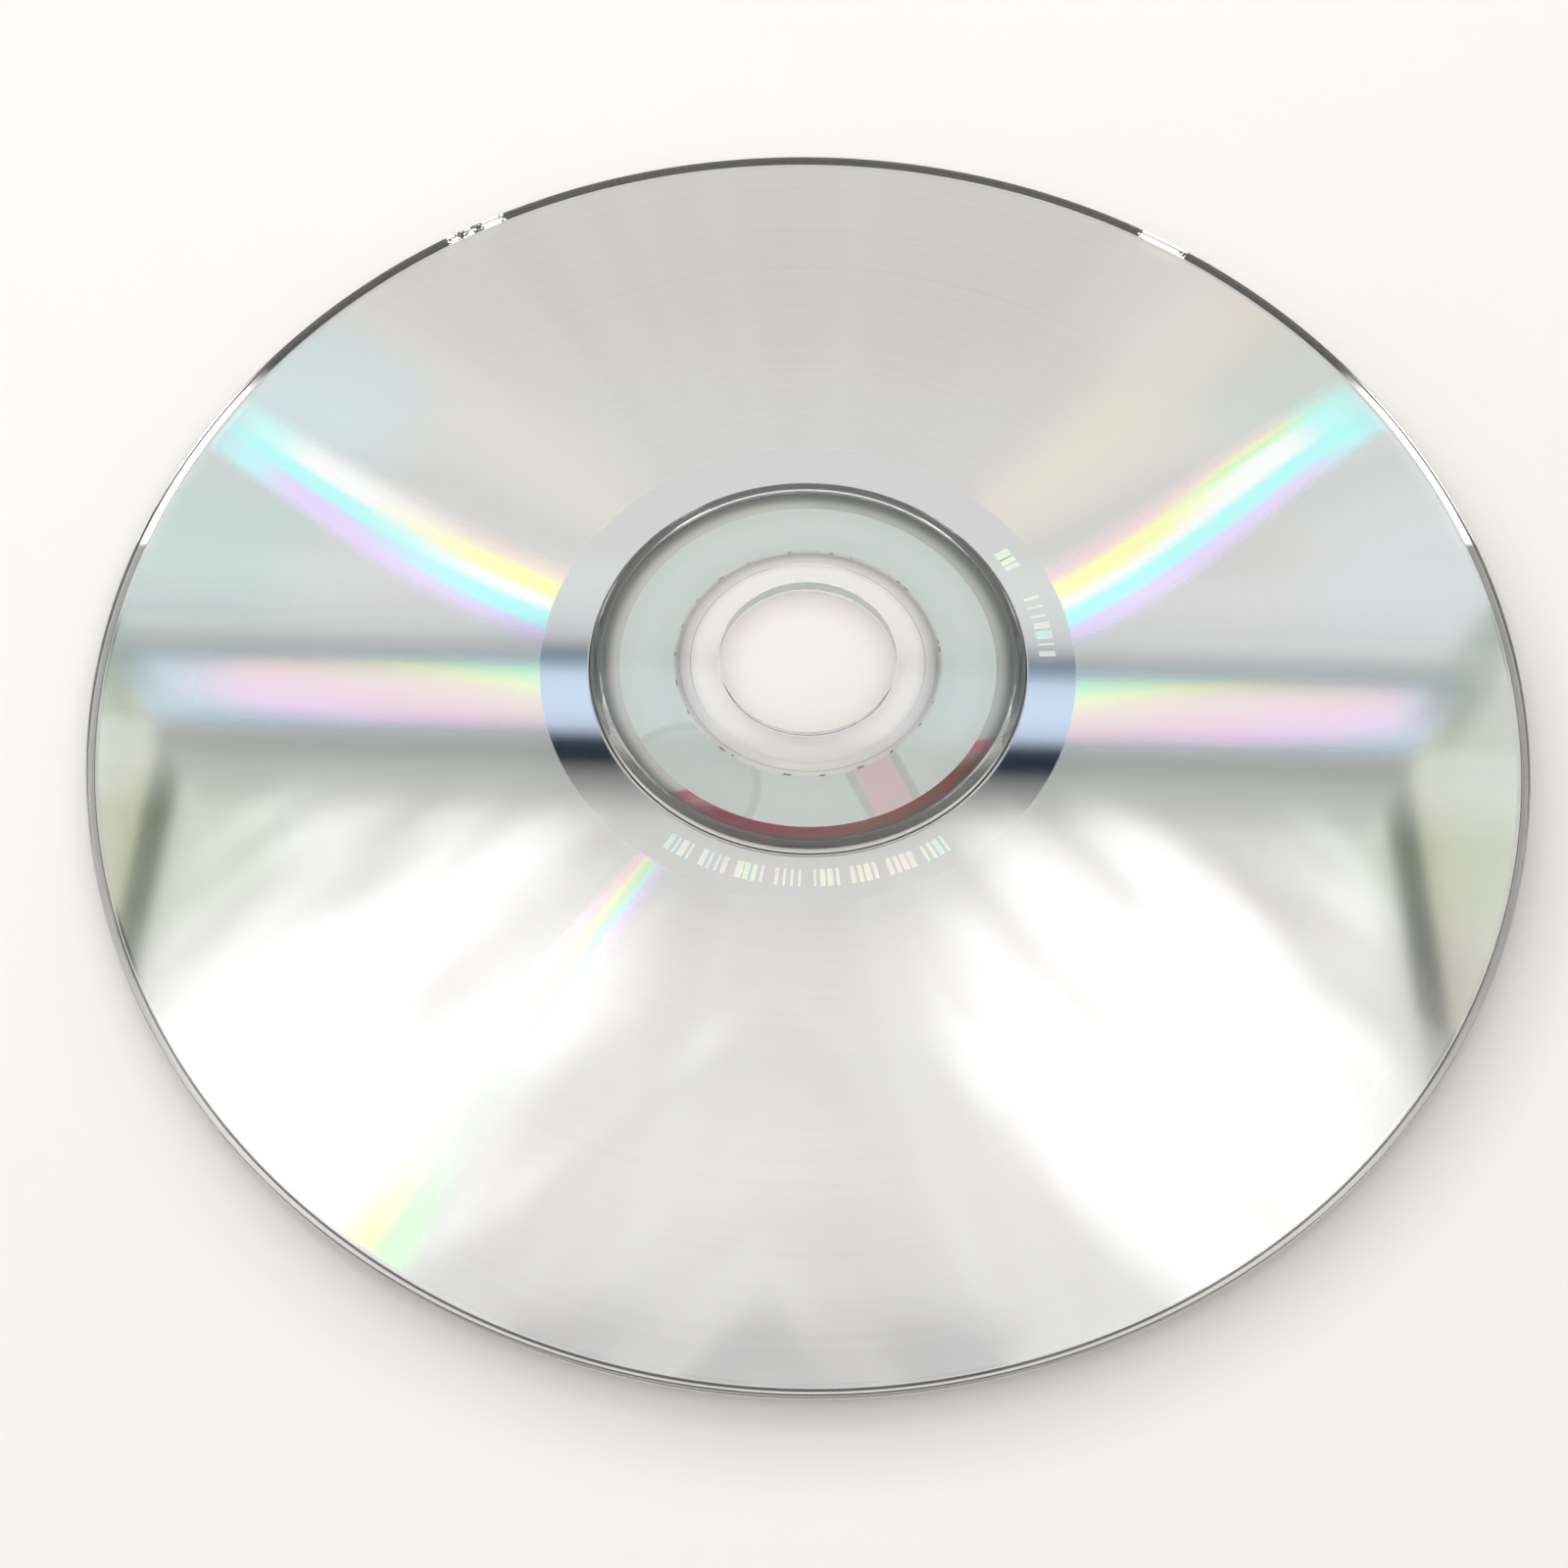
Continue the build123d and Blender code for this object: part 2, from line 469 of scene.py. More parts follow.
# How dark the table is under the clear rings, in (radius, share) stops; along Y their parts meet softly
hubRings = {
    "from": 9.0, "to": 18.8, "farPart": (-13.0, -2.0),
    "far": [
        (9.4, 0.0), (10.6, 0.35), (11.1, 0.62), (11.5, 0.0), (17.44, 0.0), (17.48, 0.95), (18.66, 0.95),
        (18.7, 0.0),
    ],
    "near": [
        (10.4, 0.0), (11.3, 0.08), (17.42, 0.0), (17.5, 0.9), (17.7, 0.9), (17.78, 0.0), (17.95, 0.0),
        (18.0, 0.6), (18.06, 0.6), (18.11, 0.0), (18.26, 0.0), (18.31, 0.85), (18.42, 0.85), (18.48, 0.0),
    ],
}
rimRings = {
    "from": 59.2, "to": 61.0, "sidePart": (-50.0, -20.0), "farPart": (6.0, 34.0),
    "far": [(59.22, 0.0), (59.26, 1.0), (60.05, 1.0), (60.2, 0.6), (60.7, 0.0)],
    "side": [(59.21, 0.0), (59.25, 0.9), (59.46, 0.9), (59.54, 0.52), (59.92, 0.52), (60.0, 0.0)],
    "near": [(59.21, 0.0), (59.25, 0.95), (59.56, 0.95), (59.60, 0.0)],
}
# Painted glints: the table glows under the rim, and its painted shade is cleared there: ragged spots along X
# at its far part, and a smooth one along Y at each side
glints = {
    "far": [(-36.1, -35.4), (-34.6, -34.1), (-33.1, -31.4), (31.7, 35.5)], "soft": 0.15,
    "ragged": {"scale": 4.0, "detail": 0.0, "reach": 1.6},
    "side": [(11.75, 12.75), (33.0, 26.0)], "slant": 0.03,
    "ring": (59.3, 59.95), "ringSoft": 0.05, "light": (1.6, 1.6, 1.6, 1),
}
black = (0, 0, 0, 1)


def bareTable(finish):
    drift = finish.step(finish.y - finish.x * table["slant"], *table["drift"])
    colour = finish.mix(drift, table["nearColour"], table["farColour"])
    cloud = table["cloud"]
    wave = finish.grain(cloud["scale"], cloud["detail"])
    colour = finish.mix(finish.step(wave, *cloud["reach"]) * cloud["share"], colour, cloud["colour"])
    shadeUnderHub, shadowBesideRim = table["shadeUnderHub"], table["shadowBesideRim"]
    # the painted shade under the clear hub
    least, more = shadeUnderHub["shares"]
    hub = finish.step(finish.radius, *shadeUnderHub["reach"]) * (wave * more + least)
    colour = finish.mix(hub, colour, shadeUnderHub["colour"])
    # the painted shadow beside the rim, on its near right side
    side = finish.step(finish.x * table["slant"] - finish.y, *shadowBesideRim["side"])
    beside = finish.step(finish.radius, *shadowBesideRim["reach"]) * side
    return finish.mix(beside * shadowBesideRim["share"], colour, shadowBesideRim["colour"])


def ringShade(finish, rings, part):
    reach = rings["to"] - rings["from"]
    stops = [((place - rings["from"]) / reach, (share, share, share, 1)) for place, share in rings[part]]
    return finish.ramp((finish.radius - rings["from"]) / reach, stops)


def glintMask(finish, farPart):
    ragged = glints["ragged"]
    stray = finish.x + (finish.grain(ragged["scale"], ragged["detail"]) - 0.5) * ragged["reach"]
    far = sum(finish.band(stray, start, end, glints["soft"]) for start, end in glints["far"])
    near, end = glints["side"]
    along = finish.y - finish.x * glints["slant"]
    return far * farPart + finish.step(along, *near) * finish.step(along, *end)


def tableFinish():
    finish = Finish("tableTop")
    colour = bareTable(finish)
    farPart = finish.step(finish.y, *hubRings["farPart"])
    hubShade = finish.mix(farPart, ringShade(finish, hubRings, "near"), ringShade(finish, hubRings, "far"))
    sidePart = finish.step(finish.y, *rimRings["sidePart"])
    rimShade = finish.mix(sidePart, ringShade(finish, rimRings, "near"), ringShade(finish, rimRings, "side"))
    farPart = finish.step(finish.y, *rimRings["farPart"])
    rimShade = finish.mix(farPart, rimShade, ringShade(finish, rimRings, "far"))
    # painted glints: the table's painted shade is cleared under the rim, and it glows there
    glint = glintMask(finish, farPart)
    rimShade = finish.mix(glint, rimShade, black)
    colour = finish.mix(finish.larger(hubShade, rimShade), colour, table["shade"])
    ring = finish.band(finish.radius, *glints["ring"], glints["ringSoft"])
    material = finish.principled({
        "Base Color": colour, "Roughness": table["roughness"], "Specular IOR Level": table["gloss"],
        "Emission Color": finish.mix(glint * ring, black, glints["light"]), "Emission Strength": 1.0,
    })
    material.cycles.emission_sampling = "NONE"       # the glints are too small to light anything
    return material


def buildTable():
    radius, level = table["radius"] * mm, (tableLevel - table["gap"]) * mm
    turns = [math.tau * k / table["corners"] for k in range(table["corners"])]
    points = [(radius * math.cos(t), radius * math.sin(t), level) for t in turns]
    mesh = bpy.data.meshes.new("table")
    mesh.from_pydata(points, [], [tuple(range(len(points)))])
    mesh.materials.append(tableFinish())
    top = bpy.data.objects.new("table", mesh)
    bpy.context.scene.collection.objects.link(top)


buildTable()
announce("table")


# Clear moulded plastic

plastic = {
    "holeRadius": 7.5, "mouthRounding": 0.1, "rimRounding": 0.2, "faceLevel": 1.2,
    "crestRadius": 17.9, "crestWidth": 0.9, "footRounding": 0.1,
    "punchInner": 9.95, "punchOuter": 10.9, "punchDepth": 0.05, "punchLean": 0.02,
    "grooveInner": 17.8, "grooveOuter": 18.5, "grooveDepth": 0.15, "grooveLean": 0.0546,
    "arcSteps": 8, "support": 0.12,                  # support: flat strip beside each rounding
    "tint": (0.983, 0.991, 0.988, 1), "bend": 1.585,
}


def plasticSection():
    p = plastic
    low, high = plasticLevel, p["faceLevel"]
    steps, support = p["arcSteps"], p["support"]
    mouth, edge, foot = p["mouthRounding"], p["rimRounding"], p["footRounding"]
    hole = p["holeRadius"]
    outline = arc((hole + mouth, low + mouth), mouth, 180, 270, steps)
    outline += [(hole + mouth + support, low)]
    for recess in ("punch", "groove"):
        inner, outer = p[recess + "Inner"], p[recess + "Outer"]
        lean, depth = p[recess + "Lean"], low + p[recess + "Depth"]
        outline += [(inner, low), (inner + lean, depth), (outer - lean, depth), (outer, low)]
    outline += [(discRadius - edge - support, low)]
    outline += arc((discRadius - edge, low + edge), edge, 270, 360, steps)
    outline += [(discRadius, low + edge + support), (discRadius, high - edge - support)]
    outline += arc((discRadius - edge, high - edge), edge, 0, 90, steps)
    outline += [(discRadius - edge - support, high)]
    # the crest is an arc through its two feet and its top, with a small hollow rounding at each foot
    rise = crestTop - high
    crest = (p["crestWidth"] ** 2 / 4 + rise ** 2) / (2 * rise)
    centre = (p["crestRadius"], crestTop - crest)
    reach = math.sqrt((crest + foot) ** 2 - (high + foot - centre[1]) ** 2)
    lift = math.degrees(math.atan2(high + foot - centre[1], reach))
    outline += [(p["crestRadius"] + reach + support, high)]
    outline += arc((p["crestRadius"] + reach, high + foot), foot, 270, 180 + lift, steps // 2)
    outline += arc(centre, crest, lift, 180 - lift, 2 * steps)[1:-1]
    outline += arc((p["crestRadius"] - reach, high + foot), foot, 360 - lift, 270, steps // 2)
    outline += [(p["crestRadius"] - reach - support, high)]
    outline += [(hole + mouth + support, high)]
    outline += arc((hole + mouth, high - mouth), mouth, 90, 180, steps)
    outline += [(hole, high - mouth - support), (hole, low + mouth + support)]
    return outline


def clearPlastic():
    finish = Finish("clearPlastic")
    return finish.principled({
        "Base Color": plastic["tint"], "Roughness": 0.0,
        "IOR": plastic["bend"], "Transmission Weight": 1.0,
    })


clearDisc = turned("clear_disc", plasticSection(), clearPlastic())
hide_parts("polycarbonate_disc")
announce("clear plastic")


# Mirror film with its track

film = {
    "innerRadius": 18.7, "seat": 0.003,              # seat: how far the film's top sinks into the plastic
    "mirrorSilver": (0.62, 0.615, 0.612, 1), "mirrorRoughness": 0.025,
    "dataInner": 22.7, "dataOuter": 59.1, "dataSoft": 0.06,
    "silver": (0.77, 0.755, 0.745, 1), "silverDark": (0.71, 0.70, 0.695, 1),
    "dataRoughness": 0.036, "dataMetal": 0.62, "streakMetal": 0.90,
    "rings": {"scale": 1.6, "detail": 2.0, "reach": (0.25, 0.75), "share": 0.5},
    # spokes: painted faint radial streaks of diffracted light
    "spokes": {
        "scale": 7.0, "detail": 1.0, "reach": (0.35, 0.75), "share": 0.35, "colour": (0.84, 0.83, 0.83, 1),
    },
}
violet = screenColour(234, 218, 255)
cyan = screenColour(186, 255, 252)
white = screenColour(255, 255, 255)
yellow = screenColour(255, 255, 182)
pink = screenColour(255, 218, 220)
peach = screenColour(255, 232, 218)
green = screenColour(206, 255, 205)

# Three bright streaks of diffracted light, painted in. Each runs between two edges, given as (radius, angle)
# at three places. Its colours from edge to edge change from inner to outer between two radii, and its
# strength follows (radius, strength) stops.
streaks = {
    "right": {
        "start": [(22.7, 6.0), (40, 20.0), (58, 26.8)],
        "end": [(22.7, 24.5), (40, 30.5), (58, 33.0)],
        "inner": [
            (0.0, violet), (0.19, violet), (0.27, cyan), (0.40, cyan), (0.52, white), (0.68, yellow),
            (0.82, yellow), (0.92, pink), (1.0, pink),
        ],
        "outer": [
            (0.0, violet), (0.14, violet), (0.24, cyan), (0.40, cyan), (0.50, white), (0.74, white),
            (0.84, green), (0.92, yellow), (1.0, peach),
        ],
        "change": (32.0, 46.0), "strength": [(22.0, 0.95), (56.0, 0.95), (59.5, 0.55)], "tip": 0.85,
    },
    "left": {
        "start": [(22.7, 177.0), (40, 166.0), (58, 159.0)],
        "end": [(22.7, 158.5), (40, 156.0), (58, 153.0)],
        "inner": [
            (0.0, violet), (0.14, violet), (0.22, cyan), (0.38, cyan), (0.47, white), (0.56, white),
            (0.64, yellow), (0.80, yellow), (0.90, peach), (1.0, peach),
        ],
        "outer": [(0.0, violet), (0.32, violet), (0.40, cyan), (0.56, cyan), (0.66, white), (1.0, white)],
        "change": (27.0, 46.0), "strength": [(22.0, 0.95), (56.0, 0.95), (59.5, 0.45)], "tip": 0.75,
    },
    "lower": {
        "start": [(22.7, 234.8), (40, 235.0), (58, 235.4)],
        "end": [(22.7, 241.2), (40, 241.0), (58, 242.0)],
        "inner": [
            (0.0, pink), (0.20, pink), (0.36, yellow), (0.55, green), (0.72, cyan), (0.86, violet),
            (1.0, violet),
        ],
        "outer": [(0.0, pink), (0.18, pink), (0.36, yellow), (0.50, yellow), (0.72, green), (1.0, green)],
        "change": (36.0, 50.0),
        "strength": [(24.0, 0.60), (31.0, 0.60), (45.0, 0.06), (49.0, 0.06), (57.0, 0.75)], "tip": 0.0,
    },
}

# How the streaks are drawn: the radii between which their edges are followed, and their soft edges across
guides = {
    "from": 22.0, "to": 59.5, "steps": 31,
    "before": -0.12, "after": 1.22,                  # where a streak fades out, in shares of its width
    "softFrom": 0.80,                                # and where it begins to, on its far edge
    "edges": (-0.12, -0.06, 0.0, 0.06, 0.12, 0.80, 0.90, 1.01, 1.12, 1.22),
    "tip": (49.0, 55.0),                             # radii between which its outer end turns cyan
}

# Painted diffraction light: faint fans of colour round the disc, near the hub and out at the rim: angle,
# colour and share
fans = {
    "from": -30.0,
    "middle": (38.0, 50.0),                          # radii between which the inner fans give way
    "inner": [
        (0, (214, 220, 226), 0.0), (31, (255, 246, 222), 0.0), (41, (255, 246, 222), 0.55),
        (46, (255, 246, 222), 0.55), (57, (240, 230, 226), 0.0), (127, (250, 242, 236), 0.0),
        (138, (255, 246, 234), 0.45), (143, (255, 246, 234), 0.45), (153, (226, 236, 232), 0.0),
    ],
    "outer": [
        (-28, (214, 236, 190), 0.0), (-20, (218, 234, 200), 0.4), (-11, (218, 234, 200), 0.4),
        (-3, (200, 226, 214), 0.1), (4, (206, 226, 232), 0.1), (11, (232, 236, 242), 0.6),
        (17, (236, 238, 240), 0.6), (24, (214, 230, 232), 0.2), (31, (214, 238, 230), 0.4),
        (39, (230, 238, 226), 0.4), (44, (252, 244, 232), 0.6), (50, (250, 242, 240), 0.65),
        (62, (250, 242, 240), 0.0), (128, (236, 228, 240), 0.0), (137, (252, 244, 234), 0.42),
        (142, (226, 242, 248), 0.65), (151, (226, 246, 250), 0.8), (158, (208, 232, 236), 0.1),
        (164, (196, 232, 220), 0.5), (170, (196, 232, 220), 0.5), (177, (192, 216, 212), 0.5),
        (184, (200, 226, 190), 0.2), (190, (218, 234, 196), 0.4), (203, (218, 234, 196), 0.4),
        (212, (214, 234, 184), 0.0), (301, (214, 250, 236), 0.0), (303, (214, 250, 236), 0.2),
        (305, (250, 248, 220), 0.2), (307, (250, 248, 220), 0.0),
    ],
}

# Painted reflection: the slot's reflection breaks into green, yellow, pink and violet where the track
# crosses it
slotFan = {
    "top": -0.6, "bottom": -7.6, "lean": 0.026, "span": 1.6,         # where along Y the colours run
    "near": (-8.6, -7.0), "far": (0.2, -1.8), "fade": (56.0, 46.0), "share": 0.92,
    "hues": [
        (0.0, (222, 252, 220)), (0.14, (226, 254, 200)), (0.26, (255, 244, 178)), (0.38, (255, 222, 194)),
        (0.60, (255, 210, 202)), (0.80, (252, 208, 216)), (1.0, (206, 210, 206)),
    ],
}

# Painted light: the track's haze, painted in, lightens the dark seams on both sides of the slot, each
# between two soft steps along Y
paintedHaze = {
    "near": [(-17.0, -10.5), (-6.5, -8.5)], "far": [(4.0, 1.5), (-1.8, 0.4)], "farShare": 0.6,
    "share": 0.9, "colour": (0.97, 1.0, 0.965, 1), "metal": 0.28,
}


def through(radius, points):
    # a parabola over the radius through three (radius, angle) points
    (r0, a0), (r1, a1), (r2, a2) = points
    slope = (a1 - a0) / (r1 - r0)
    bend = ((a2 - a1) / (r2 - r1) - slope) / (r2 - r0)
    return (radius - r0) * ((radius - r1) * bend + slope) + a0


def smoothRise(value, start, end):
    # the soft step of Sheet.step, on plain numbers
    share = min(1.0, max(0.0, (value - start) / (end - start)))
    return share * share * (3 - 2 * share)


def between(stops, place):
    # the values at a place of a list of (place, values) stops
    if place <= stops[0][0]:
        return stops[0][1]
    for (low, first), (high, second) in zip(stops, stops[1:]):
        if place <= high:
            share = (place - low) / (high - low)
            return tuple(a + (b - a) * share for a, b in zip(first, second))
    return stops[-1][1]


def guideStops(streak):
    # over the radius, as red, green, blue and alpha: where the streak starts, how wide it is plus a half,
    # because a ramp can't hold less than 0, its strength, and its change of colours
    stops = []
    for k in range(guides["steps"]):
        radius = guides["from"] + (guides["to"] - guides["from"]) * k / (guides["steps"] - 1)
        start, end = through(radius, streak["start"]), through(radius, streak["end"])
        first = (start + guides["before"] * (end - start) - fans["from"]) / 360
        width = (guides["after"] - guides["before"]) * (end - start) / 360
        strength = between([(place, (level,)) for place, level in streak["strength"]], radius)[0]
        change = smoothRise(radius, *streak["change"])
        stops.append((radius / discRadius, (first, width + 0.5, strength, change)))
    return stops


def hueStops(hues):
    # across a streak: its colours, with its soft edges in their alpha
    before, after = guides["before"], guides["after"]
    stops = []
    for place in sorted({place for place, hue in hues} | set(guides["edges"])):
        edge = smoothRise(place, before, -before) * smoothRise(place, after, guides["softFrom"])
        stops.append(((place - before) / (after - before), between(hues, place)[:3] + (edge,)))
    return stops


def trackSilver(finish, data):
    # fine rings over the data area, and spokes of a lighter silver, painted streaks of diffracted light
    rings, spokes = film["rings"], film["spokes"]
    turns = finish.step(finish.rings(rings["scale"], rings["detail"]), *rings["reach"])
    colour = finish.mix(turns * rings["share"], film["silver"], film["silverDark"])
    colour = finish.mix(data, film["mirrorSilver"], colour)
    way = finish.combine(finish.x / finish.radius, finish.y / finish.radius, 0.0)
    spoke = finish.step(finish.noise(way, spokes["scale"], spokes["detail"], "2D"), *spokes["reach"])
    return finish.mix(spoke * data * spokes["share"], colour, spokes["colour"])


def fanRamp(finish, turn, part):
    stops = []
    for angle, shade, share in fans[part]:
        stops.append(((angle - fans["from"]) / 360, screenColour(*shade)[:3] + (share,)))
    return finish.ramp(turn, stops)


def fanLight(finish, turn):
    # the fans' colour, and how much of it shows
    inner, outer = fanRamp(finish, turn, "inner"), fanRamp(finish, turn, "outer")
    outward = finish.step(finish.radius, *fans["middle"])
    share = inner.beside("Alpha") * (1.0 - outward) + outer.beside("Alpha") * outward
    return finish.mix(outward, inner, outer), share


def slotLight(finish, data):
    # the painted colours of the slot's reflection, and where it lies
    drop = (finish.y - slotFan["top"]) / (slotFan["bottom"] - slotFan["top"])
    hue = (drop + (finish.radius - film["dataInner"]) * slotFan["lean"]) / slotFan["span"]
    colour = finish.ramp(hue, [(place, screenColour(*shade)) for place, shade in slotFan["hues"]])
    mask = finish.step(finish.y, *slotFan["near"]) * finish.step(finish.y, *slotFan["far"])
    return colour, mask * finish.step(finish.radius, *slotFan["fade"]) * data


def seamMask(finish, data):
    # where the painted haze lies
    near = finish.step(finish.y, *paintedHaze["near"][0]) * finish.step(finish.y, *paintedHaze["near"][1])
    far = finish.step(finish.y, *paintedHaze["far"][0]) * finish.step(finish.y, *paintedHaze["far"][1])
    return (near + far * paintedHaze["farShare"]) * data


def streakLight(finish, turn, data, streak):
    # a painted streak's colours, and where it lies
    guide = finish.ramp(finish.radius / discRadius, guideStops(streak))
    start = finish.node("ShaderNodeSeparateXYZ", {}, {"Vector": guide})
    share = (turn - start) / (start.beside("Y") - 0.5)
    inner = finish.ramp(share, hueStops(streak["inner"]))
    outer = finish.ramp(share, hueStops(streak["outer"]))
    hues = finish.mix(guide.beside("Alpha"), inner, outer)
    if streak["tip"]:
        hues = finish.mix(finish.step(finish.radius, *guides["tip"]) * streak["tip"], hues, cyan)
    return hues, inner.beside("Alpha") * start.beside("Z") * data


def mirrorFilm():
    finish = Finish("mirrorFilm")
    data = finish.band(finish.radius, film["dataInner"], film["dataOuter"], film["dataSoft"])
    turn = (finish.angle(fans["from"] + 180) - fans["from"]) / 360
    colour = trackSilver(finish, data)
    # painted diffraction light: the fans
    fan, share = fanLight(finish, turn)
    colour = finish.mix(share * data, colour, fan)
    # painted reflection of the tent's slot, in colours
    slotColour, bright = slotLight(finish, data)
    colour = finish.mix(bright * slotFan["share"], colour, slotColour)
    # painted haze over the reflected dark seams, with less metal under it
    seams = seamMask(finish, data)
    colour = finish.mix(seams * paintedHaze["share"], colour, paintedHaze["colour"])
    # painted streaks of diffracted light
    for streak in streaks.values():
        hues, mask = streakLight(finish, turn, data, streak)
        colour = finish.mix(mask, colour, hues)
        bright = finish.larger(bright, mask)
    metal = 1.0 - data * (1 - film["dataMetal"])
    metal = metal + bright * (film["streakMetal"] - film["dataMetal"])
    metal = metal - seams * (film["dataMetal"] - paintedHaze["metal"])
    roughness = data * (film["dataRoughness"] - film["mirrorRoughness"]) + film["mirrorRoughness"]
    return finish.principled({"Base Color": colour, "Metallic": metal, "Roughness": roughness})


filmRing = flatRing(film["innerRadius"], metalRadius, metalLevel, plasticLevel + film["seat"])
mirror = turned("mirror_film", filmRing, mirrorFilm())
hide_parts("reflective_layer")
announce("mirror film")


# Lacquer that laps round both edges of the metal

lacquer = {
    "innerRadius": 18.6, "seat": 0.0015, "silver": (0.62, 0.62, 0.61, 1), "metal": 0.9,
    "waves": {
        "scale": 0.9, "detail": 2.0, "reach": (0.3, 0.7), "share": 0.3, "colour": (0.54, 0.545, 0.54, 1),
    },
    "roughness": (0.12, 0.08), "coatRoughness": 0.05,                # least, and how much the waves add
}


def lacqueredEdge():
    finish = Finish("lacqueredEdge")
    waves = lacquer["waves"]
    wave = finish.grain(waves["scale"], waves["detail"])
    share = finish.step(wave, *waves["reach"]) * waves["share"]
    least, more = lacquer["roughness"]
    return finish.principled({
        "Base Color": finish.mix(share, lacquer["silver"], waves["colour"]), "Metallic": lacquer["metal"],
        "Roughness": wave * more + least, "Coat Weight": 1.0, "Coat Roughness": lacquer["coatRoughness"],
    })


lacquerTop = plasticLevel + lacquer["seat"]
lacquerRing = flatRing(lacquer["innerRadius"], lacquerRadius, lacquerLevel, lacquerTop)
clearCoat = turned("lacquer_film", lacquerRing, lacqueredEdge())
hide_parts("protective_lacquer")
announce("lacquer")


# Inks: a white undercoat on the hub, and fields of colour over it and on the label

# Pairs are the start and end of a soft step
ink = {
    "innerRadius": 11.4, "labelInner": 19.0, "level": 0.02, "seat": 0.0025, "labelSeat": 0.0005,
    "gloss": 0.5, "roughness": (0.32, 0.15),         # least, and how much the grain adds
    "grain": {"scale": 14.0, "detail": 2.0, "bump": 0.15, "depth": 0.02},
    "cloud": {
        "scale": 0.25, "detail": 4.0, "reach": (0.35, 0.7), "share": 0.12, "colour": (0.9, 0.88, 0.85, 1),
    },
    # painted shade, where the print grows darker outwards: the radii and how far
    "hubShade": (16.2, 17.4, 0.85), "labelShade": (50.0, 60.0, 0.1), "shade": (0.10, 0.11, 0.10, 1),
}
# Two pale fields side by side, and two dark ones in front of them
fields = {
    "cream": screenColour(230, 227, 222), "greyGreen": screenColour(208, 211, 204),
    "wine": screenColour(160, 8, 62), "rust": screenColour(150, 84, 70), "rose": screenColour(214, 120, 138),
    "drift": {"scale": 0.03, "detail": 1.0, "reach": 4.0, "share": 0.4},
    "side": (0.95, 0.3), "paleSeam": (0.5, 7.0), "darkSeam": (-5.0, 6.0),
    "slant": 0.22, "front": (-9.5, -13.5), "stripe": (-11.6, -10.6), "stripeSoft": 0.15,
}
# The undercoat's clouds, a rose bar with grey edges, and a pale spot with a grey edge
undercoating = {
    "colour": screenColour(248, 255, 253), "shade": screenColour(240, 252, 248),
    "rose": screenColour(255, 232, 234), "grey": screenColour(228, 233, 231),
    "roughness": 0.5, "gloss": 0.3,
    "cloud": {"scale": 0.35, "detail": 4.0, "reach": (0.3, 0.75), "share": 0.5},
    "across": (0.90, 0.44), "front": (-8.0, -8.6),
    "greyBar": (-1.9, 2.9), "roseBar": (-1.2, 2.2), "barSoft": 0.12,
    "spot": (-9.5, -12.5), "greySpot": (6.1, 5.9), "greyShare": 0.7,
    "paleSpot": (5.4, 5.2), "paleShare": 0.5,
}


def fieldsOfColour(finish):
    # the fields, with a thin rose stripe along the seam between pale and dark
    wave = finish.grain(fields["drift"]["scale"], fields["drift"]["detail"])
    drift = (wave - 0.5) * fields["drift"]["reach"]
    side = finish.x * fields["side"][0] + finish.y * fields["side"][1] + drift
    pale = finish.mix(finish.step(side, *fields["paleSeam"]), fields["cream"], fields["greyGreen"])
    dark = finish.mix(finish.step(finish.x, *fields["darkSeam"]), fields["wine"], fields["rust"])
    fall = finish.y - finish.x * fields["slant"] + drift * fields["drift"]["share"]
    colour = finish.mix(finish.step(fall, *fields["front"]), pale, dark)
    stripe = finish.band(fall, *fields["stripe"], fields["stripeSoft"])
    return finish.mix(stripe, colour, fields["rose"])


def printInk(name, shade):
    finish = Finish(name)
    start, end, share = shade
    # painted shade: the print darkens outwards
    darker = finish.step(finish.radius, start, end) * share
    colour = finish.mix(darker, fieldsOfColour(finish), ink["shade"])
    cloud, grain = ink["cloud"], ink["grain"]
    clouds = finish.step(finish.grain(cloud["scale"], cloud["detail"]), *cloud["reach"])
    colour = finish.mix(clouds * cloud["share"], colour, cloud["colour"], "MULTIPLY")
    height = finish.grain(grain["scale"], grain["detail"])
    relief = {"Strength": grain["bump"], "Distance": grain["depth"] * mm, "Height": height}
    least, more = ink["roughness"]
    return finish.principled({
        "Base Color": colour, "Roughness": height * more + least, "Specular IOR Level": ink["gloss"],
        "Normal": finish.node("ShaderNodeBump", {}, relief),
    })


def undercoatInk():
    finish = Finish("whiteUndercoat")
    coat, cloud = undercoating, undercoating["cloud"]
    clouds = finish.step(finish.grain(cloud["scale"], cloud["detail"]), *cloud["reach"])
    colour = finish.mix(clouds * cloud["share"], coat["colour"], coat["shade"])
    across = finish.x * coat["across"][0] + finish.y * coat["across"][1]
    front = finish.step(finish.y, *coat["front"])
    greyBar = finish.band(across, *coat["greyBar"], coat["barSoft"]) * front
    roseBar = finish.band(across, *coat["roseBar"], coat["barSoft"]) * front
    colour = finish.mix(greyBar, colour, coat["grey"])
    colour = finish.mix(roseBar, colour, coat["rose"])
    away = finish.distance(finish.x - coat["spot"][0], finish.y - coat["spot"][1])
    colour = finish.mix(finish.step(away, *coat["greySpot"]) * coat["greyShare"], colour, coat["grey"])
    colour = finish.mix(finish.step(away, *coat["paleSpot"]) * coat["paleShare"], colour, coat["colour"])
    return finish.principled({
        "Base Color": colour, "Roughness": coat["roughness"], "Specular IOR Level": coat["gloss"],
    })


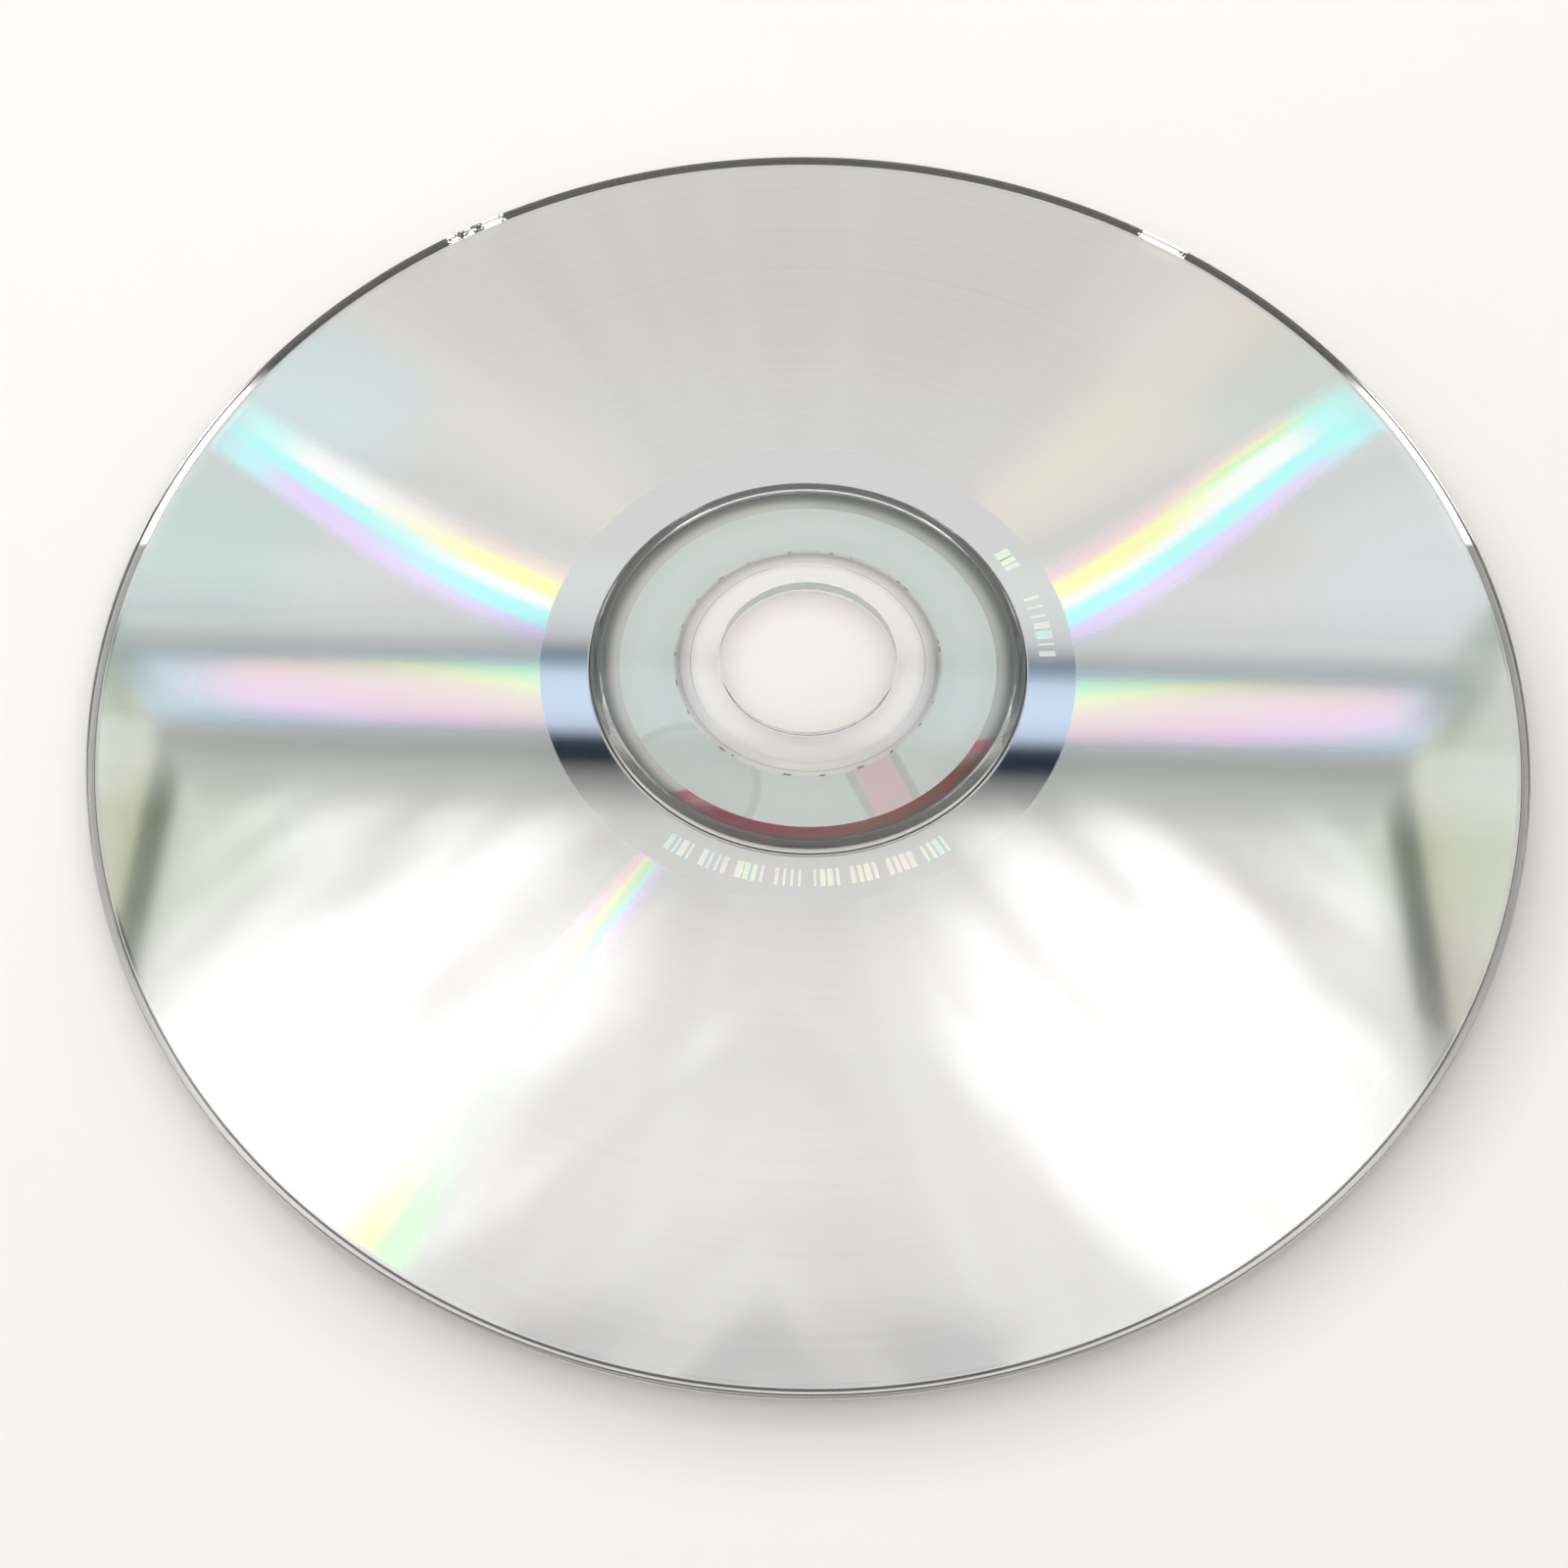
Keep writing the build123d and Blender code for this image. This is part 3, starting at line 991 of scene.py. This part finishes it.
inkTop = plasticLevel + ink["seat"]
undercoatRing = flatRing(ink["innerRadius"], undercoatRadius, ink["level"], inkTop)
undercoat = turned("white_undercoat", undercoatRing, undercoatInk())
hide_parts("white_base_coat")
stepped = [
    (ink["innerRadius"], tableLevel), (hubInkRadius, tableLevel), (hubInkRadius, inkTop),
    (undercoatRadius, inkTop), (undercoatRadius, ink["level"]), (ink["innerRadius"], ink["level"]),
]
hubInk = turned("hub_ink", stepped, printInk("hubInk", ink["hubShade"]))
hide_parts("hub_print")
labelRing = flatRing(ink["labelInner"], labelInkRadius, tableLevel, ink["level"] + ink["labelSeat"])
labelInk = turned("label_ink", labelRing, printInk("labelInk", ink["labelShade"]))
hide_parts("label_print")
announce("inks")


# Marks on the mirror band, plain bars and ticks in the film, and dark flecks beside the hub print

marks = {
    "bars": {
        "Count": 40, "First Angle": 238.0, "Sweep": 68.0, "Radius": 20.55, "Length": 1.5, "Width": 0.40,
        "Group": 5, "Stray": 0.0, "Seed": 4, "Low": 0.058, "High": 0.066,
    },
    "ticks": {
        "Count": 7, "First Angle": 2.0, "Sweep": 19.0, "Radius": 20.4, "Length": 1.4, "Width": 0.55,
        "Group": 99, "Stray": 0.0, "Seed": 9, "Low": 0.058, "High": 0.066,
    },
    "dots": {
        "Count": 3, "First Angle": 29.0, "Sweep": 6.0, "Radius": 20.4, "Length": 1.4, "Width": 0.75,
        "Group": 99, "Stray": 0.0, "Seed": 2, "Low": 0.058, "High": 0.066,
    },
    "flecks": {
        "Count": 33, "First Angle": 0.0, "Sweep": 360.0, "Radius": 11.28, "Length": 0.09, "Width": 0.42,
        "Group": 3, "Stray": 9.0, "Seed": 6, "Low": 0.030, "High": 0.055,
    },
}
markLook = {
    "widths": (0.35, 1.5),                           # least and most, in shares of the row's width
    "metal": 0.85, "roughness": 0.10, "turnMiddle": 270, "scale": 0.11, "detail": 2.0,
    "hues": [
        (0.32, (226, 250, 240)), (0.42, (252, 252, 224)), (0.50, (250, 238, 232)), (0.58, (250, 249, 230)),
        (0.66, (230, 250, 238)), (0.74, (242, 240, 252)),
    ],
    "fleckScale": 3.0, "fleckGrey": (0.02, 0.10), "fleckRoughness": 0.6,
}


def markRecipe():
    # bars round an arc, of uneven width, with every last bar of a group left out
    inputs = {
        "Count": "Int", "First Angle": "Float", "Sweep": "Float", "Radius": "Float", "Length": "Float",
        "Width": "Float", "Group": "Int", "Stray": "Float", "Seed": "Int", "Low": "Float", "High": "Float",
        "Finish": "Material",
    }
    recipe = Recipe("markRow", inputs)
    node, value = recipe.node, recipe.given.beside
    number = node("GeometryNodeInputIndex")
    # the bars' places take other random numbers than their widths
    drift = {2: -1.0, 3: 1.0, "Seed": value("Seed") + 50}
    stray = node("FunctionNodeRandomValue", {}, drift, output=1)
    turn = value("First Angle") + value("Sweep") * (number + 0.5) / value("Count") + stray * value("Stray")
    turn = turn * math.radians(1)
    level = (value("Low") + value("High")) * 0.5
    across = recipe.calc("COSINE", turn) * value("Radius")
    along = recipe.calc("SINE", turn) * value("Radius")
    points = node("GeometryNodePoints", {}, {"Count": value("Count")})
    placed = {"Geometry": points, "Position": recipe.combine(across, along, level)}
    points = node("GeometryNodeSetPosition", {}, placed)
    gap = recipe.calc("COMPARE", recipe.calc("MODULO", number, value("Group")), value("Group") - 1, 0.5)
    points = node("GeometryNodeDeleteGeometry", {}, {"Geometry": points, "Selection": gap})
    size = recipe.combine(value("Length"), value("Width"), value("High") - value("Low"))
    bar = node("GeometryNodeMeshCube", {}, {"Size": size})
    place = node("ShaderNodeSeparateXYZ", {}, {"Vector": node("GeometryNodeInputPosition")})
    facing = recipe.combine(0.0, 0.0, recipe.calc("ARCTAN2", place.beside("Y"), place))
    least, most = markLook["widths"]
    uneven = node("FunctionNodeRandomValue", {}, {2: least, 3: most, "Seed": value("Seed")}, output=1)
    stretch = recipe.combine(1.0, uneven, 1.0)
    spread = {"Points": points, "Instance": bar, "Rotation": facing, "Scale": stretch}
    recipe.close(node("GeometryNodeInstanceOnPoints", {}, spread))
    return recipe


def markFinish():
    finish = Finish("pastelMarks")
    turn = finish.angle(markLook["turnMiddle"])
    wave = finish.noise(turn, markLook["scale"], markLook["detail"], "1D")
    colour = finish.ramp(wave, [(place, screenColour(*shade)) for place, shade in markLook["hues"]])
    return finish.principled({
        "Base Color": colour, "Metallic": markLook["metal"], "Roughness": markLook["roughness"],
    })


def fleckFinish():
    finish = Finish("darkFlecks")
    least, more = markLook["fleckGrey"]
    grey = finish.grain(markLook["fleckScale"]) * more + least
    return finish.principled({"Base Color": grey, "Roughness": markLook["fleckRoughness"]})


def buildMarks():
    recipe = markRecipe()
    pastel, dark = markFinish(), fleckFinish()
    for name, sizes in marks.items():
        onHub = name == "flecks"
        values = {"Finish": dark if onHub else pastel}
        for label, size in sizes.items():
            values[label] = size * mm if label in ("Radius", "Length", "Width", "Low", "High") else size
        piece = recipe.make(("hub_" if onHub else "mirror_band_") + name, [(0, 0, 0)], [], values)
        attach(piece, "root")


buildMarks()
announce("marks")
